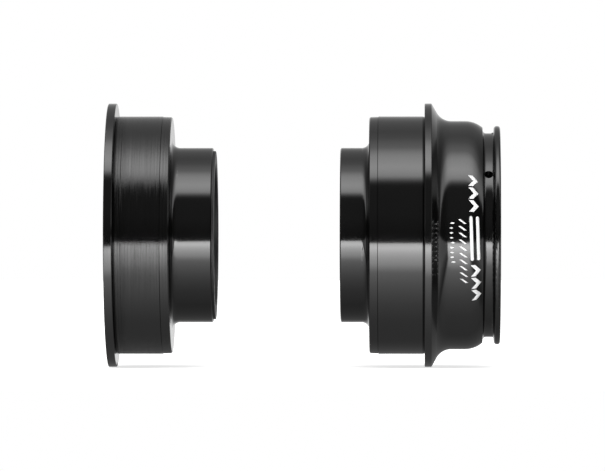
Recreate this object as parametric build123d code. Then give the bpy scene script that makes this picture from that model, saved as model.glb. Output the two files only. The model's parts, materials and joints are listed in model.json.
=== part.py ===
from build123d import *
import os
from math import cos, pi, sin

# Press-fit bottom bracket: two cups with sealed ball bearings, for a 79 mm wide, 46 mm bore shell.
#
# Frame, in mm: the origin is on the spindle axis, in the plane where the right cup's flange meets the
# shell. +X points out of the shell on the drive side, +Y forwards and +Z up.
#
# Nearly every piece is a ring, drawn once as a section of (along, radius) points. "along" is measured
# from the cup's own seat plane and is positive outboard, so one drawing serves both sides: the left
# side is the mirror image of the right.

# The shell and the spindle that the bracket fits
SHELL_BORE_R = 23.0
SHELL_WIDTH = 79.0
RIGHT_FACE_TO_CENTRE = 34.0
SPINDLE_R = 12.5
REST_SEAT_SPACING = 59.55  # between the two seat planes before the left cup is pushed home

# Both cups
FLANGE_R = 25.5
RIM_BREAK = 0.12
EDGE_BREAK = 0.2
LAND = 8.91
UNDERCUT_DEPTH = 0.12
UNDERCUT_WIDTH = 0.4
UNDERCUT_INTO_FLANGE = 0.1
SCRIBE_DEPTH = 0.12
SCRIBE_WIDTH = 0.12
LEAD_IN_DROP = 0.08
LEAD_IN_TAPER = 0.05
NECK_R = 16.9
NECK_BORE_R = 15.0
NECK_ROOT_ROUND = 1.5
CAVITY_R = 17.3
CAVITY_END = -9.3

# Right cup
RIGHT_SHOULDER = 10.66
RIGHT_NECK_END = 16.25
RIGHT_RIM_WIDTH = 1.4
BARREL_R = 22.1
CONE_FOOT = 3.27
CONE_ROOT_ROUND = 3.2
BARREL_SHOULDER_X = 9.6
BARREL_ROUND = 5.2
GROOVE_IN = 11.18
GROOVE_OUT = 13.34
GROOVE_TOP_R = 20.88
GROOVE_FLOOR_R = 19.74
GROOVE_ROUND_IN = 0.7
GROOVE_ROUND_OUT = 0.45
LIP_R = 21.14
LIP_ROUND_IN = 0.58
LIP_ROUND_OUT = 0.5
MOUTH = 14.6

# Holes for the ends of the retaining clip
CLIP_HOLE_R = 0.85
CLIP_HOLE_X = (GROOVE_IN + GROOVE_OUT) / 2
CLIP_HOLE_ELEVATION = 36.0
CLIP_HOLES = 2

# Left cup
LEFT_SHOULDER = 10.73
LEFT_NECK_END = 18.7
LEFT_RIM_WIDTH = 1.63

# 25 x 37 x 6 mm bearing, measured along from its inboard face
BEARING_R = 18.5
BEARING_WIDTH = 6.0
RIGHT_BEARING_X = 5.8
RACE_BREAK = 0.3
BALL_R = 1.5875
BALLS = 20
PITCH_R = 15.5
GROOVE_CLEARANCE = 0.06
OUTER_RACE_LAND_R = 16.55
INNER_RACE_LAND_R = 14.45
SEAL_SEAT_R = 17.45
SEAL_RECESS = 0.1
SEAL_THICKNESS = 0.45
SEAL_LIP_R = 14.55
SEAL_LIP_WIDTH = 0.5
SEAL_HEM_WIDTH = 0.6
SEAL_STEP_SLOPE = 0.2
CAGE_R = (14.85, 16.15)
CAGE_START = 0.75
CAGE_END = 3.75
POCKET_CLEARANCE = 0.11

# Wave washer behind the left bearing
WASHER_R = (17.4, 18.3)
WASHER_THICKNESS = 0.4
WASHER_SPACE = 1.0
WASHER_WAVES = 3
WASHER_POINTS_PER_WAVE = 12

# Sleeves, lip seals and the dust seal
SLEEVE_BORE_R = 13.6
SLEEVE_INNER_END = 9.5
SLEEVE_FLANGE_R = 16.3
SLEEVE_FLANGE = 0.45
SLEEVE_RECESS = 0.3
SEAL_POCKET_R = 14.3
SEAL_POCKET_LENGTH = 2.6
SEAL_POCKET_WALL = 1.2
LIP_TIP_R = 12.65
LIP_TIP_WIDTH = 0.4
LIP_LEAN = 0.5
LIP_ROOT_WIDTH = 1.0
LIP_ROOT_DROP = 0.3
DUST_SEAL_WIDTH = 1.0
DUST_SEAL_RECESS = 0.15
DUST_SEAL_HEM = 1.2
DUST_SEAL_STEP = 0.4

LEFT_FACE_TO_CENTRE = SHELL_WIDTH - RIGHT_FACE_TO_CENTRE
# the bearings lie the same distance from the bicycle's centre plane
LEFT_BEARING_X = RIGHT_FACE_TO_CENTRE + RIGHT_BEARING_X - LEFT_FACE_TO_CENTRE


def ring(points):
    """Revolve a closed section of (along, radius) or (along, radius, corner radius) points."""
    section = make_face(Polyline(*[point[:2] for point in points], close=True))
    for point in points:
        if len(point) == 3:
            corner = section.vertices().sort_by_distance((point[0], point[1], 0))[0]
            section = fillet(corner, point[2])
    return revolve(section, Axis.X, 360)


def press_land(shoulder):
    """The outside of a cup that the shell grips, from the shoulder face up to the seat plane."""
    lead_in_r = SHELL_BORE_R - LEAD_IN_DROP
    scribe = -LAND - SCRIBE_WIDTH
    return [
        (-shoulder, lead_in_r - LEAD_IN_TAPER - EDGE_BREAK),
        (-shoulder + EDGE_BREAK, lead_in_r - LEAD_IN_TAPER),
        (scribe, lead_in_r),
        (scribe + SCRIBE_WIDTH / 2, SHELL_BORE_R - SCRIBE_DEPTH),
        (-LAND, SHELL_BORE_R),
        (-UNDERCUT_WIDTH, SHELL_BORE_R),
        (UNDERCUT_INTO_FLANGE, SHELL_BORE_R - UNDERCUT_DEPTH),
        (UNDERCUT_INTO_FLANGE, SHELL_BORE_R),
        (0, SHELL_BORE_R + UNDERCUT_INTO_FLANGE),
    ]


def neck(end, shoulder):
    """The thin neck that reaches into the shell, from its bore to the shoulder."""
    return [
        (CAVITY_END, NECK_BORE_R),
        (-end, NECK_BORE_R),
        (-end, NECK_R - EDGE_BREAK),
        (-end + EDGE_BREAK, NECK_R),
        (-shoulder, NECK_R, NECK_ROOT_ROUND),
    ]


def rim(width):
    """The flange's edge, from the seat plane to its outboard side."""
    return [
        (0, FLANGE_R - RIM_BREAK),
        (RIM_BREAK, FLANGE_R),
        (width - RIM_BREAK, FLANGE_R),
        (width, FLANGE_R - RIM_BREAK),
    ]


def bearing_seat(mouth, shoulder):
    """The bore that holds the bearing, from the mouth in to the cavity behind it."""
    return [
        (mouth, BEARING_R + RACE_BREAK),
        (mouth - RACE_BREAK, BEARING_R),
        (shoulder, BEARING_R),
        (shoulder, CAVITY_R),
        (CAVITY_END, CAVITY_R),
    ]


def clip_hole(turn):
    """A radial drill through the groove's floor, starting from the rear and above the axis."""
    drill = Pos(CLIP_HOLE_X, 0, (BEARING_R + LIP_R) / 2) * Cylinder(CLIP_HOLE_R, 2 * (LIP_R - BEARING_R))
    return Rot(X=90 - CLIP_HOLE_ELEVATION + turn) * drill


def right_cup():
    body = ring(
        neck(RIGHT_NECK_END, RIGHT_SHOULDER)
        + press_land(RIGHT_SHOULDER)
        + rim(RIGHT_RIM_WIDTH)
        + [
            (CONE_FOOT, BARREL_R, CONE_ROOT_ROUND),
            (BARREL_SHOULDER_X, BARREL_R, BARREL_ROUND),
            (GROOVE_IN, GROOVE_TOP_R),
            (GROOVE_IN, GROOVE_FLOOR_R, GROOVE_ROUND_IN),
            (GROOVE_OUT, GROOVE_FLOOR_R, GROOVE_ROUND_OUT),
            (GROOVE_OUT, LIP_R, LIP_ROUND_IN),
            (MOUTH, LIP_R, LIP_ROUND_OUT),
        ]
        + bearing_seat(MOUTH, RIGHT_BEARING_X)
    )
    for index in range(CLIP_HOLES):
        body -= clip_hole(index * 360 / CLIP_HOLES)
    return body


def left_cup():
    return ring(
        neck(LEFT_NECK_END, LEFT_SHOULDER)
        + press_land(LEFT_SHOULDER)
        + rim(LEFT_RIM_WIDTH)
        + bearing_seat(LEFT_RIM_WIDTH, LEFT_BEARING_X - WASHER_SPACE)
    )


def raceway():
    """The torus that the balls run in, with running clearance."""
    ball_path = Circle(BALL_R + GROOVE_CLEARANCE)
    return revolve(Pos(BEARING_WIDTH / 2, PITCH_R) * ball_path, Axis.X, 360)


def outer_race():
    seat = SEAL_RECESS + SEAL_THICKNESS
    far = BEARING_WIDTH
    body = ring(
        [
            (RACE_BREAK, BEARING_R),
            (0, BEARING_R - RACE_BREAK),
            (0, SEAL_SEAT_R),
            (seat, SEAL_SEAT_R),
            (seat, OUTER_RACE_LAND_R),
            (far - seat, OUTER_RACE_LAND_R),
            (far - seat, SEAL_SEAT_R),
            (far, SEAL_SEAT_R),
            (far, BEARING_R - RACE_BREAK),
            (far - RACE_BREAK, BEARING_R),
        ]
    )
    return body - raceway()


def inner_race():
    far = BEARING_WIDTH
    body = ring(
        [
            (RACE_BREAK, SPINDLE_R),
            (0, SPINDLE_R + RACE_BREAK),
            (0, INNER_RACE_LAND_R),
            (far, INNER_RACE_LAND_R),
            (far, SPINDLE_R + RACE_BREAK),
            (far - RACE_BREAK, SPINDLE_R),
        ]
    )
    return body - raceway()


def around(piece, count):
    """Copies of a piece, evenly spaced round the axis."""
    return [Rot(X=index * 360 / count) * piece for index in range(count)]


def balls():
    ball = Pos(BEARING_WIDTH / 2, 0, PITCH_R) * Sphere(BALL_R)
    return Compound(children=[copy.solid() for copy in around(ball, BALLS)])


def cage():
    """A crown cage: one ring with a ball pocket that is open on its outboard side."""
    inner, outer = CAGE_R
    body = ring([(CAGE_START, inner), (CAGE_START, outer), (CAGE_END, outer), (CAGE_END, inner)])
    pocket = Pos(BEARING_WIDTH / 2, 0, PITCH_R) * Sphere(BALL_R + POCKET_CLEARANCE)
    for cut in around(pocket, BALLS):
        body -= cut
    return body


def bearing_seal():
    """A thin seal held in the outer race, with a step in its face and a lip over the inner race."""
    face = SEAL_RECESS
    back = face + SEAL_THICKNESS
    step = SEAL_THICKNESS / 3
    return ring(
        [
            (face, SEAL_SEAT_R),
            (face, SEAL_SEAT_R - SEAL_HEM_WIDTH),
            (face + step, SEAL_SEAT_R - SEAL_HEM_WIDTH - SEAL_STEP_SLOPE),
            (face + step, SEAL_LIP_R + SEAL_LIP_WIDTH + SEAL_STEP_SLOPE),
            (face, SEAL_LIP_R + SEAL_LIP_WIDTH),
            (face, SEAL_LIP_R),
            (back, SEAL_LIP_R),
            (back, SEAL_SEAT_R),
        ]
    )


def wave_washer():
    """A flat spring ring that rises and falls between the cup's shoulder and the outer race."""
    rise = (WASHER_SPACE - WASHER_THICKNESS) / 2
    steps = WASHER_POINTS_PER_WAVE * WASHER_WAVES

    def edge(radius, lift):
        turns = [2 * pi * index / steps for index in range(steps)]
        points = [
            (lift + rise * cos(WASHER_WAVES * turn), radius * sin(turn), radius * cos(turn))
            for turn in turns
        ]
        return Spline(*points, periodic=True)

    inner, outer = WASHER_R
    half = WASHER_THICKNESS / 2
    loops = [edge(inner, -half), edge(outer, -half), edge(outer, half), edge(inner, half)]
    sides = [Face.make_surface_from_curves(loops[index - 1], loops[index]) for index in range(4)]
    return Solid(Shell(sides))


def neck_sleeve(neck_end, flanged):
    """The plastic sleeve in the neck's bore. It carries the lip seal near the neck's end."""
    end = neck_end + SLEEVE_FLANGE if flanged else neck_end - SLEEVE_RECESS
    pocket = neck_end - SLEEVE_RECESS - SEAL_POCKET_WALL
    if flanged:
        outside = [
            (-end, SLEEVE_FLANGE_R, SLEEVE_FLANGE / 3),
            (-neck_end, SLEEVE_FLANGE_R),
            (-neck_end, NECK_BORE_R),
        ]
    else:
        outside = [(-end, NECK_BORE_R - EDGE_BREAK), (-end + EDGE_BREAK, NECK_BORE_R)]
    return ring(
        [(-end, SLEEVE_BORE_R, EDGE_BREAK)]
        + outside
        + [
            (-SLEEVE_INNER_END, NECK_BORE_R),
            (-SLEEVE_INNER_END, SLEEVE_BORE_R),
            (-pocket + SEAL_POCKET_LENGTH, SLEEVE_BORE_R),
            (-pocket + SEAL_POCKET_LENGTH, SEAL_POCKET_R),
            (-pocket, SEAL_POCKET_R),
            (-pocket, SLEEVE_BORE_R),
        ]
    )


def neck_lip_seal(neck_end):
    """A rubber ring in the sleeve's pocket, with a lip that leans outwards over the spindle."""
    near = -(neck_end - SLEEVE_RECESS - SEAL_POCKET_WALL)
    far = near + SEAL_POCKET_LENGTH
    return ring(
        [
            (near, SEAL_POCKET_R),
            (near, SLEEVE_BORE_R - LIP_ROOT_DROP / 3),
            (near - LIP_LEAN, LIP_TIP_R),
            (near - LIP_LEAN + LIP_TIP_WIDTH, LIP_TIP_R),
            (near + LIP_ROOT_WIDTH, SLEEVE_BORE_R - LIP_ROOT_DROP),
            (far, SLEEVE_BORE_R - LIP_ROOT_DROP),
            (far, SEAL_POCKET_R),
        ]
    )


def dust_seal():
    """The ring that closes the right cup's mouth, outboard of the clip holes."""
    face = MOUTH - DUST_SEAL_RECESS
    back = face - DUST_SEAL_WIDTH
    return ring(
        [
            (back, BEARING_R),
            (back, LIP_TIP_R + DUST_SEAL_HEM),
            (back + LIP_ROOT_DROP, LIP_TIP_R),
            (face - DUST_SEAL_STEP, LIP_TIP_R),
            (face - DUST_SEAL_STEP, BEARING_R - DUST_SEAL_HEM - DUST_SEAL_STEP),
            (face, BEARING_R - DUST_SEAL_HEM),
            (face, BEARING_R - RACE_BREAK),
            (face - RACE_BREAK, BEARING_R),
        ]
    )


def bearing(side):
    """The pieces of one bearing, keyed by node name, with x = 0 at the inboard face."""
    seal = bearing_seal()
    return {
        f"{side}_bearing_outer_race": outer_race(),
        f"{side}_bearing_inner_race": inner_race(),
        f"{side}_bearing_balls": balls(),
        f"{side}_bearing_cage": cage(),
        f"{side}_bearing_inboard_seal": seal,
        f"{side}_bearing_outboard_seal": Pos(BEARING_WIDTH) * mirror(seal, Plane.YZ),
    }


def moved(pieces, along):
    return {node: Pos(along) * piece for node, piece in pieces.items()}


def right_side():
    pieces = {
        "right_cup": right_cup(),
        "right_neck_sleeve": neck_sleeve(RIGHT_NECK_END, flanged=False),
        "right_neck_lip_seal": neck_lip_seal(RIGHT_NECK_END),
        "right_dust_seal": dust_seal(),
    }
    return pieces | moved(bearing("right"), RIGHT_BEARING_X)


def left_side():
    pieces = {
        "left_cup": left_cup(),
        "left_neck_sleeve": neck_sleeve(LEFT_NECK_END, flanged=True),
        "left_neck_lip_seal": neck_lip_seal(LEFT_NECK_END),
        "left_wave_washer": Pos(LEFT_BEARING_X - WASHER_SPACE / 2) * wave_washer(),
    }
    pieces |= moved(bearing("left"), LEFT_BEARING_X)
    return {
        node: Pos(-REST_SEAT_SPACING) * mirror(piece, Plane.YZ) for node, piece in pieces.items()
    }


os.makedirs("parts", exist_ok=True)
for node, piece in (right_side() | left_side()).items():
    export_step(piece, f"parts/{node}.step")
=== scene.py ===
"""Looks for the press-fit bottom bracket: finishes, printed marks, stage, light and camera.

Metres, in the CAD frame: +X out of the drive side, +Y forwards, +Z up, origin on the spindle axis in
the right cup's seat plane.
"""
import json
import math

import bpy
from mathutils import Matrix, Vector
from mathutils.bvhtree import BVHTree


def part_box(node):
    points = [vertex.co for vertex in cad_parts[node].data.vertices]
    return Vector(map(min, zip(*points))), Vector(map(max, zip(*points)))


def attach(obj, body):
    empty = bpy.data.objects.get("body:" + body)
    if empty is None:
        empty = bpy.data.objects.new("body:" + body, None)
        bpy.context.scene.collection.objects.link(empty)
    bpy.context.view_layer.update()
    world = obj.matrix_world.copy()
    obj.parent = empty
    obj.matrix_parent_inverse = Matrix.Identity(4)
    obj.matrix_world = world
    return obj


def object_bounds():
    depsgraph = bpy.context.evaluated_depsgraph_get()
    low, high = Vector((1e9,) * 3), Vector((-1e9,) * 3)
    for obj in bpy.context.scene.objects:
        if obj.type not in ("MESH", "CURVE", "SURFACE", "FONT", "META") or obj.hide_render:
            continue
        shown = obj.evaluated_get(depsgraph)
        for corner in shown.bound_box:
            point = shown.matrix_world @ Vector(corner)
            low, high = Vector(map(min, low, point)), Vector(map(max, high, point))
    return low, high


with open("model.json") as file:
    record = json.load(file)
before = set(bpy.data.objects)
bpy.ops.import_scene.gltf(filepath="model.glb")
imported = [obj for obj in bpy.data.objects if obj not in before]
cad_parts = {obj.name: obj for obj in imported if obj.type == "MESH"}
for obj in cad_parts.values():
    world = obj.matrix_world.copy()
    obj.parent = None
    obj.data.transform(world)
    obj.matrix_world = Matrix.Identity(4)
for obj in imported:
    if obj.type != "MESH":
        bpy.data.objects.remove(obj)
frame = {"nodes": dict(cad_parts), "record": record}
cad_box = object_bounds()

MM = 0.001


# ---------------------------------------------------------------- node helpers

class Nodes:
    """Adds shader nodes to one tree and joins them, so that a material reads as a list of steps."""

    def __init__(self, tree):
        self.tree = tree

    def add(self, kind, inputs=None, **settings):
        node = self.tree.nodes.new(kind)
        for name, value in settings.items():
            setattr(node, name, value)
        for name, value in (inputs or {}).items():
            self.plug(node.inputs[name], value)
        return node

    def plug(self, socket, value):
        if isinstance(value, bpy.types.NodeSocket):
            self.tree.links.new(value, socket)
        else:
            socket.default_value = value

    def math(self, operation, *values, clamp=False):
        node = self.add("ShaderNodeMath", operation=operation, use_clamp=clamp)
        for socket, value in zip(node.inputs, values):
            self.plug(socket, value)
        return node.outputs[0]

    def mix(self, factor, low, high):
        """A number between low and high."""
        return self.math("ADD", low, self.math("MULTIPLY", factor, high - low))

    def rise(self, value, start, end):
        """0 up to start, 1 from end on, and a straight line between them."""
        return self.math("DIVIDE", self.math("SUBTRACT", value, start), end - start, clamp=True)

    def place(self):
        """The point's place in the CAD frame, in metres."""
        return self.add("ShaderNodeTexCoord").outputs["Object"]

    def split(self, vector):
        node = self.add("ShaderNodeSeparateXYZ", {"Vector": vector})
        return [node.outputs[axis] for axis in "XYZ"]

    def vector(self, x, y, z):
        return self.add("ShaderNodeCombineXYZ", {"X": x, "Y": y, "Z": z}).outputs[0]

    def colour(self, red, green, blue):
        return self.add("ShaderNodeCombineColor", {"Red": red, "Green": green, "Blue": blue}).outputs[0]

    def noise(self, vector, size, detail=2.0, roughness=0.5):
        """Noise from 0 to 1 whose largest lumps are about size across, in metres."""
        inputs = {"Vector": vector, "Scale": 1.0 / size, "Detail": detail, "Roughness": roughness}
        return self.add("ShaderNodeTexNoise", inputs).outputs["Fac"]

    def bump(self, height, depth, normal=None):
        """The normal of a relief, over another normal, where a height of 1 is depth metres."""
        inputs = {"Height": height, "Distance": depth, "Strength": 1.0}
        if normal is not None:
            inputs["Normal"] = normal
        return self.add("ShaderNodeBump", inputs).outputs["Normal"]

    def ramp(self, factor, stops):
        """A colour ramp of grey (position, value) stops."""
        node = self.add("ShaderNodeValToRGB", {"Fac": factor})
        elements = node.color_ramp.elements
        while len(elements) < len(stops):
            elements.new(1.0)
        for element, (position, value) in zip(elements, stops):
            element.position = position
            element.color = (value, value, value, 1.0)
        return node.outputs["Color"]

    def show(self, to_object, to_camera, output):
        """Joins two shaders to the named output: what lights the object, and what the camera sees."""
        path = self.add("ShaderNodeLightPath")
        mixed = self.add("ShaderNodeMixShader", {"Fac": path.outputs["Is Camera Ray"]})
        self.plug(mixed.inputs[1], to_object)
        self.plug(mixed.inputs[2], to_camera)
        self.plug(self.tree.nodes[output].inputs["Surface"], mixed.outputs[0])


def new_material(name):
    material = bpy.data.materials.new(name)
    material.use_nodes = True
    nodes = Nodes(material.node_tree)
    shader = material.node_tree.nodes["Principled BSDF"]
    return material, nodes, shader


def turned_coordinates(nodes):
    """A point's place, its distance along the spindle axis and its distance from it, in metres."""
    place = nodes.place()
    x, y, z = nodes.split(place)
    radius = nodes.math("SQRT", nodes.math("ADD", nodes.math("POWER", y, 2.0), nodes.math("POWER", z, 2.0)))
    return place, x, radius


def turning_lines(nodes, along, radius, pitch):
    """Noise that changes only across a lathe's cut, so its lines run round the axis on every face."""
    across = nodes.vector(along, radius, 0.0)
    return nodes.noise(across, pitch, detail=3.0, roughness=0.65)


# ---------------------------------------------------------------- finishes

# Base tone, roughness and depth of the grinding lines
STEELS = {
    "race_steel": (0.60, 0.20, 0.0008 * MM),
    "ball_steel": (0.72, 0.06, 0.0001 * MM),
    "spring_steel": (0.42, 0.30, 0.0010 * MM),
}
# Colour, roughness, and the mould texture's size and depth
MOULDINGS = {
    "cage_nylon": ((0.16, 0.12, 0.08), 0.45, 0.20 * MM, 0.006 * MM),
    "sleeve_nylon": ((0.006, 0.006, 0.0065), 0.50, 0.15 * MM, 0.0015 * MM),
    "seal_rubber": ((0.012, 0.012, 0.0125), 0.52, 0.12 * MM, 0.004 * MM),
}

# Coarse feed lines on the left cup's press land. They start and end at these distances inboard of the
# flange, which is this wide, and lie only where the cup is wider than its neck.
LEFT_FLANGE = 1.63 * MM
FEED_START = 0.42 * MM
FEED_END = 10.6 * MM
FEED_INNER_RADIUS = 22.5 * MM
FEED_PITCH = 0.045 * MM
# Their depth where they start, and the share of it that is left after the fade
FEED_DEPTH = 0.068 * MM
FEED_FADE = 2.7 * MM
FEED_FADED = 0.67


def anodised_black():
    """Turned aluminium, dyed black: a glossy oxide skin over fine lathe lines."""
    material, nodes, shader = new_material("anodised_black")
    place, along, radius = turned_coordinates(nodes)
    fine = turning_lines(nodes, along, radius, pitch=0.16 * MM)
    broad = turning_lines(nodes, along, radius, pitch=1.3 * MM)
    blotch = nodes.noise(place, size=6.0 * MM, detail=3.0)
    grain = nodes.noise(place, size=0.09 * MM)
    tone = nodes.mix(blotch, low=0.0010, high=0.0020)
    nodes.plug(shader.inputs["Base Color"], nodes.colour(tone, tone, tone))
    skin = nodes.mix(broad, low=0.095, high=0.125)
    nodes.plug(shader.inputs["Roughness"], nodes.math("ADD", skin, nodes.mix(fine, low=-0.015, high=0.02)))
    shader.inputs["IOR"].default_value = 1.62
    shader.inputs["Anisotropic"].default_value = 0.45
    shader.inputs["Anisotropic Rotation"].default_value = 0.25
    tangent = nodes.add("ShaderNodeTangent", direction_type="RADIAL", axis="X")
    nodes.plug(shader.inputs["Tangent"], tangent.outputs[0])
    lines = nodes.bump(fine, depth=0.0012 * MM)
    grained = nodes.bump(grain, depth=0.0004 * MM, normal=lines)
    nodes.plug(shader.inputs["Normal"], left_land_lines(nodes, along, radius, grained))
    return material


def left_land_lines(nodes, along, radius, normal):
    """Coarser feed lines on the left cup's land, deepest beside its flange, over the given normal."""
    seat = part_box("left_cup")[0].x + LEFT_FLANGE
    start, end = seat + FEED_START, seat + FEED_END
    after, before = nodes.math("GREATER_THAN", along, start), nodes.math("LESS_THAN", along, end)
    outside = nodes.math("GREATER_THAN", radius, FEED_INNER_RADIUS)
    on_land = nodes.math("MULTIPLY", nodes.math("MULTIPLY", after, before), outside)
    faded = nodes.rise(along, start, start + FEED_FADE)
    share = nodes.math("MULTIPLY", on_land, nodes.mix(faded, 1.0, FEED_FADED))
    feed = nodes.noise(nodes.vector(along, 0.0, 0.0), FEED_PITCH, detail=1.0)
    return nodes.bump(nodes.math("MULTIPLY", feed, share), FEED_DEPTH, normal)


def steel(name, tone, roughness, line_depth):
    """Ground steel with fine circular grinding lines."""
    material, nodes, shader = new_material(name)
    place, along, radius = turned_coordinates(nodes)
    fine = turning_lines(nodes, along, radius, pitch=0.12 * MM)
    cloud = nodes.noise(place, size=5.0 * MM)
    level = nodes.mix(cloud, low=tone * 0.92, high=tone * 1.05)
    nodes.plug(shader.inputs["Base Color"], nodes.colour(level, level, level))
    shader.inputs["Metallic"].default_value = 1.0
    nodes.plug(shader.inputs["Roughness"], nodes.mix(fine, low=roughness * 0.8, high=roughness * 1.25))
    nodes.plug(shader.inputs["Normal"], nodes.bump(fine, line_depth))
    return material


def moulded(name, colour, roughness, texture, depth):
    """Moulded plastic or rubber with a spark-eroded mould texture and faint flow marks."""
    material, nodes, shader = new_material(name)
    place = nodes.place()
    pebble = nodes.noise(place, texture, detail=3.0, roughness=0.6)
    flow = nodes.noise(place, size=7.0 * MM)
    parts = [nodes.mix(flow, low=part * 0.8, high=part * 1.25) for part in colour]
    nodes.plug(shader.inputs["Base Color"], nodes.colour(*parts))
    nodes.plug(shader.inputs["Roughness"], nodes.mix(pebble, low=roughness * 0.85, high=roughness * 1.15))
    nodes.plug(shader.inputs["Normal"], nodes.bump(pebble, depth))
    return material


def white_ink():
    """Pad-printed white ink: matt and slightly mottled."""
    material, nodes, shader = new_material("white_ink")
    mottle = nodes.noise(nodes.place(), size=0.35 * MM, detail=4.0, roughness=0.6)
    level = nodes.mix(mottle, low=0.72, high=0.92)
    nodes.plug(shader.inputs["Base Color"], nodes.colour(level, level, level))
    nodes.plug(shader.inputs["Roughness"], nodes.mix(mottle, low=0.38, high=0.55))
    nodes.plug(shader.inputs["Normal"], nodes.bump(mottle, depth=0.002 * MM))
    return material


def finish_nodes():
    """Each CAD node's slot gets its finish."""
    finishes = {"anodised_black": anodised_black()}
    finishes.update({slot: steel(slot, *values) for slot, values in STEELS.items()})
    finishes.update({slot: moulded(slot, *values) for slot, values in MOULDINGS.items()})
    for part in frame["record"]["subparts"]:
        mesh = frame["nodes"][part["node"]].data
        mesh.materials.clear()
        mesh.materials.append(finishes[part["material_slot"]])


# ---------------------------------------------------------------- printed marks

INK_THICKNESS = 0.02 * MM
INK_SINK = 0.012 * MM
# Lengths round the barrel are measured at this radius, downwards from the axis's height on the near side
PRINT_RADIUS = 22.0 * MM
# The middle of the outboard row, which is of chevrons and bars, as such a length
PRINT_MIDDLE = 0.65 * MM
# The rows of marks drift outboard by this share of their length as they run down
PRINT_SLANT = 0.03
# The longest step between two points along a mark, the fewest such steps, and the steps across it
PRINT_STEP = 0.12 * MM
FEWEST_STEPS = 4
STEPS_ACROSS = 4
# A rounded bar is nowhere narrower than this share of its width
BAR_TIP = 0.12
# Rays that find the cup's surface start this far from the axis
RAY_START = 40 * MM


class Print:
    """Ink on a cup's near side. A mark's centre is down round the axis, and its edges are in X."""

    def __init__(self, node):
        cup = frame["nodes"][node]
        self.surface = BVHTree.FromObject(cup, bpy.context.evaluated_depsgraph_get())
        self.vertices = []
        self.faces = []

    def on_surface(self, along, turn, lift):
        """The point that is lift above the cup's surface, where turn is the angle up from -Y."""
        outward = Vector((0.0, -math.cos(turn), math.sin(turn)))
        start = Vector((along, 0.0, 0.0)) + outward * RAY_START
        hit, normal, _, _ = self.surface.ray_cast(start, -outward)
        return hit + normal * lift

    def band(self, centre, length, inner, outer):
        """Ink between the edges inner(t) and outer(t), where t goes from 0 to 1 down the mark."""
        steps = max(FEWEST_STEPS, math.ceil(length / PRINT_STEP))
        first = len(self.vertices)
        for lift in (INK_THICKNESS, -INK_SINK):
            for step in range(steps + 1):
                t = step / steps
                down = centre - length / 2 + length * t
                for row in range(STEPS_ACROSS + 1):
                    along = inner(t) + (outer(t) - inner(t)) * row / STEPS_ACROSS + down * PRINT_SLANT
                    self.vertices.append(self.on_surface(along, -down / PRINT_RADIUS, lift))
        self.faces += shell_faces(first, steps, STEPS_ACROSS)

    def bar(self, centre, length, middle, width):
        """A straight bar with rounded ends."""
        half = width / 2

        def reach(t):
            end = min(t, 1 - t) * length
            if end >= half:
                return half
            return math.sqrt(max(half ** 2 - (half - end) ** 2, (BAR_TIP * half) ** 2))

        self.band(centre, length, lambda t: middle - reach(t), lambda t: middle + reach(t))

    def strip(self, centre, length, inner, width):
        """A strip of even width outboard of the edge inner(t)."""
        self.band(centre, length, inner, lambda t: inner(t) + width)

    def finish(self, name, material):
        mesh = bpy.data.meshes.new(name)
        mesh.from_pydata(self.vertices, [], self.faces)
        mesh.materials.append(material)
        mesh.shade_smooth()
        piece = bpy.data.objects.new(name, mesh)
        bpy.context.scene.collection.objects.link(piece)
        return piece


def shell_faces(first, columns, rows):
    """Quads that close two grids of points, top and bottom, into one thin shell."""
    width = rows + 1
    layer = (columns + 1) * width

    def at(column, row, bottom=0):
        return first + bottom * layer + column * width + row

    faces = []
    for column in range(columns):
        for row in range(rows):
            quad = [(column, row), (column + 1, row), (column + 1, row + 1), (column, row + 1)]
            faces.append([at(*corner) for corner in quad])
            faces.append([at(*corner, 1) for corner in reversed(quad)])
    rim = [(column, 0) for column in range(columns)] + [(columns, row) for row in range(rows)]
    rim += [(column, rows) for column in range(columns, 0, -1)] + [(0, row) for row in range(rows, 0, -1)]
    for here, there in zip(rim, rim[1:] + rim[:1]):
        faces.append([at(*there), at(*here), at(*here, 1), at(*there, 1)])
    return faces


def print_chevrons(ink):
    """Three chevrons that point outboard, above the double bar and again below it."""
    nearest, spacing, length = 6.3 * MM, 2.6 * MM, 2.3 * MM
    foot, peak, width = 8.6 * MM, 1.0 * MM, 0.9 * MM
    for side in (-1, 1):
        for index in range(3):
            centre = PRINT_MIDDLE + side * (nearest + index * spacing)
            ink.strip(centre, length, lambda t: foot + peak * (1 - abs(2 * t - 1)), width)


def print_double_bar(ink):
    length, width = 8.6 * MM, 0.6 * MM
    for middle in (8.93 * MM, 10.17 * MM):
        ink.bar(PRINT_MIDDLE, length, middle, width)


def print_strokes(ink):
    """A row of ten slanted strokes, inboard of the double bar."""
    first, spacing, length = -2.6 * MM, 1.28 * MM, 0.85 * MM
    foot, peak, width = 6.45 * MM, 1.1 * MM, 0.5 * MM
    for index in range(10):
        ink.strip(first + index * spacing, length, lambda t: foot + peak * t, width)


def print_ticks(ink):
    """A row of nine scale ticks, inboard of the strokes, with every fourth one longer."""
    first, spacing, thickness, foot = -2.3 * MM, 0.93 * MM, 0.3 * MM, 4.6 * MM
    for index in range(9):
        reach = 1.5 * MM if index % 4 == 0 else 1.05 * MM
        ink.bar(first + index * spacing, thickness, foot + reach / 2, reach)


def print_marks():
    """Generic marks on the right cup's barrel, where such a cup is printed."""
    ink = Print("right_cup")
    print_chevrons(ink)
    print_double_bar(ink)
    print_strokes(ink)
    print_ticks(ink)
    piece = ink.finish("right_cup_print", white_ink())
    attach(piece, "right_cup_body")


# ---------------------------------------------------------------- stage, light and camera

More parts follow.
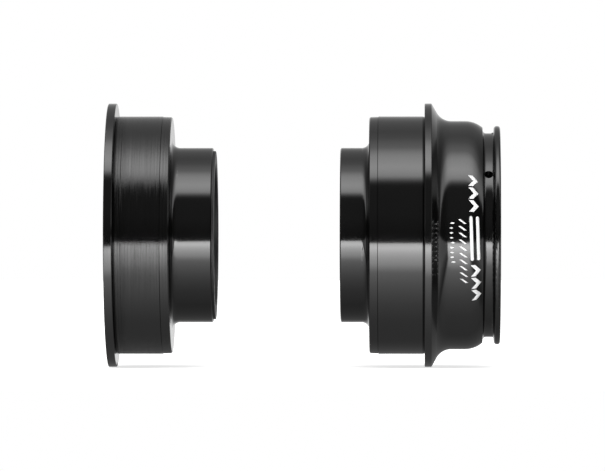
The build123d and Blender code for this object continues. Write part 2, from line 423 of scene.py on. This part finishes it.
# Brightness of the studio against the angle above the horizon on the camera's side, in degrees: dark
# up to the overhead softbox's lower edge, then its soft gradient, then the pale backdrop.
STUDIO = [
    (-180, 0.85), (-90, 0.05), (0, 0.06), (20, 0.12), (50, 0.13), (53, 0.40), (56, 1.5), (59, 3.2),
    (65, 3.9), (70, 4.1), (83, 3.1), (88, 2.4), (94, 1.38), (109, 0.63), (120, 0.42), (144, 0.34),
    (160, 0.39), (180, 0.85),
]
# Share of that brightness against the sideways part of the direction, from 0 to 1
SIDE_FALL = [(0.0, 1.0), (0.35, 0.92), (0.6, 0.62), (0.7, 0.46), (0.8, 0.42), (0.92, 0.36), (1.0, 0.2)]
# Brightness of the floor's glow, as the object sees it, against distance in front of the object's axis, in
# mm:
# painted light and shade, the cups' own shade painted in first, and then a painted lit white card. The
# floor ends where the list does.
FLOOR_GLOW = [
    (0, 0.18), (7, 0.20), (16, 0.38), (23, 0.62), (29, 0.89), (47, 1.75), (59, 3.7), (80, 5.3),
    (124, 8.5), (172, 7.6), (200, 7.4),
]
# The X of each end of the card, in mm, is the larger of a fixed place and a line, given as (fixed
# place, line's start, line's rise per mm in front). Each end fades over the edge, in mm.
CARD_LEFT = (-72, -173, 0.64)
CARD_RIGHT = (30, -6.5, 0.55)
CARD_EDGE = 9
# Away from the cups and the card the floor glows with one brightness, which it reaches between these
# distances from the cups, in mm; nearer the cups the glow is darker, painted shade from the cups
FLOOR_OPEN = 0.9
FLOOR_CLEARING = (14, 50)
# How far the floor goes to each side and behind, in metres, and the light of its own that keeps it
# nearly white to the camera
FLOOR_REACH = 2.5
PAPER_GLOW = 0.72

# The camera is level with the axis, nearly opposite the right cup's seat, and turned to the middle of
# the pair
CAMERA_PLACE = Vector((-0.48 * MM, -1.31, -0.06 * MM))
CAMERA_AIM_X = -23.65 * MM
LENS = 402.4


def shares(stops, start, end):
    """The stops as shares of the way from start to end and of the largest value, and that value."""
    brightest = max(value for _, value in stops)
    return [((position - start) / (end - start), value / brightest) for position, value in stops], brightest


def card_end(nodes, y, place, start, rise):
    """The X of one end of the card, in metres, where y is negative in front."""
    line = nodes.math("SUBTRACT", start * MM, nodes.math("MULTIPLY", y, rise))
    return nodes.math("MAXIMUM", place * MM, line)


def card_glow(nodes, x, y):
    """The floor's glow to the object: painted shade from the cups and a painted lit card, down to 0 past
    the card's ends.
    """
    from_left = nodes.math("SUBTRACT", x, card_end(nodes, y, *CARD_LEFT))
    from_right = nodes.math("SUBTRACT", card_end(nodes, y, *CARD_RIGHT), x)
    inside = nodes.math("MINIMUM", from_left, from_right)
    window = nodes.math("DIVIDE", inside, CARD_EDGE * MM, clamp=True)
    farthest = FLOOR_GLOW[-1][0]
    stops, brightest = shares(FLOOR_GLOW, 0, farthest)
    ahead = nodes.math("DIVIDE", y, -farthest * MM, clamp=True)
    return nodes.math("MULTIPLY", nodes.ramp(ahead, stops), nodes.math("MULTIPLY", window, brightest))


def open_floor_glow(nodes, x, y):
    """The glow of the rest of the floor, behind the cups and beside them, darker near the cups with painted
    shade.
    """
    low, high = cad_box
    beside = nodes.math("ABSOLUTE", nodes.math("SUBTRACT", x, (low[0] + high[0]) / 2))
    away = nodes.math("MAXIMUM", y, nodes.math("SUBTRACT", beside, (high[0] - low[0]) / 2))
    near, far = FLOOR_CLEARING
    return nodes.mix(nodes.rise(away, near * MM, far * MM), FLOOR_GLOW[0][1], FLOOR_OPEN)


def floor_paper():
    """White paper to the camera, and to the object a glow of painted light and shade: a lit card in front,
    the cups' shade near them.
    """
    material, nodes, shader = new_material("floor_paper")
    x, y, _ = nodes.split(nodes.place())
    # The glow the object sees is painted light: a painted lit card in front, and painted shade near the
    # cups
    strength = nodes.math("MAXIMUM", card_glow(nodes, x, y), open_floor_glow(nodes, x, y))
    glow = nodes.add("ShaderNodeEmission", {"Strength": strength})
    shader.inputs["Base Color"].default_value = (0.85, 0.85, 0.85, 1.0)
    shader.inputs["Roughness"].default_value = 0.9
    shader.inputs["Specular IOR Level"].default_value = 0.0
    shader.inputs["Emission Color"].default_value = (1.0, 1.0, 1.0, 1.0)
    shader.inputs["Emission Strength"].default_value = PAPER_GLOW
    nodes.show(glow.outputs[0], shader.outputs[0], "Material Output")
    return material


def stage_floor():
    """A pale sheet that the cups stand on."""
    low, high = cad_box
    middle = (low[0] + high[0]) / 2
    left, right = middle - FLOOR_REACH, middle + FLOOR_REACH
    front, back = -FLOOR_GLOW[-1][0] * MM, FLOOR_REACH
    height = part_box("right_cup")[0].z
    corners = [(left, front, height), (right, front, height), (right, back, height), (left, back, height)]
    mesh = bpy.data.meshes.new("floor")
    mesh.from_pydata(corners, [], [(0, 1, 2, 3)])
    mesh.materials.append(floor_paper())
    floor = bpy.data.objects.new("floor", mesh)
    bpy.context.scene.collection.objects.link(floor)


def studio_light():
    """The world stands for the studio: white to the camera, softbox and dark walls to the object."""
    world = bpy.data.worlds.new("studio")
    bpy.context.scene.world = world
    world.use_nodes = True
    nodes = Nodes(world.node_tree)
    x, y, z = nodes.split(nodes.add("ShaderNodeTexCoord").outputs["Generated"])
    angle = nodes.math("ARCTAN2", z, nodes.math("MULTIPLY", y, -1.0))
    turn = nodes.math("ADD", nodes.math("DIVIDE", angle, 2 * math.pi), 0.5)
    stops, brightest = shares(STUDIO, -180, 180)
    fall = nodes.ramp(nodes.math("ABSOLUTE", x), SIDE_FALL)
    strength = nodes.math("MULTIPLY", fall, brightest)
    glow = nodes.add("ShaderNodeBackground", {"Color": nodes.ramp(turn, stops), "Strength": strength})
    white = nodes.add("ShaderNodeBackground", {"Color": (1, 1, 1, 1), "Strength": 1.0})
    nodes.show(glow.outputs[0], white.outputs[0], "World Output")


def add_camera():
    """A long lens far from the cups, so that their edges look nearly straight."""
    data = bpy.data.cameras.new("camera")
    data.sensor_width = 36.0
    data.lens = LENS
    data.clip_start = 0.05
    data.clip_end = 50.0
    camera = bpy.data.objects.new("camera", data)
    camera.location = CAMERA_PLACE
    target = Vector((CAMERA_AIM_X, 0.0, CAMERA_PLACE.z))
    camera.rotation_euler = (target - camera.location).to_track_quat("-Z", "Y").to_euler()
    bpy.context.scene.collection.objects.link(camera)
    bpy.context.scene.camera = camera


finish_nodes()
print_marks()
stage_floor()
studio_light()
add_camera()
bpy.context.scene.view_settings.view_transform = "Standard"
bpy.context.scene.view_settings.look = "None"
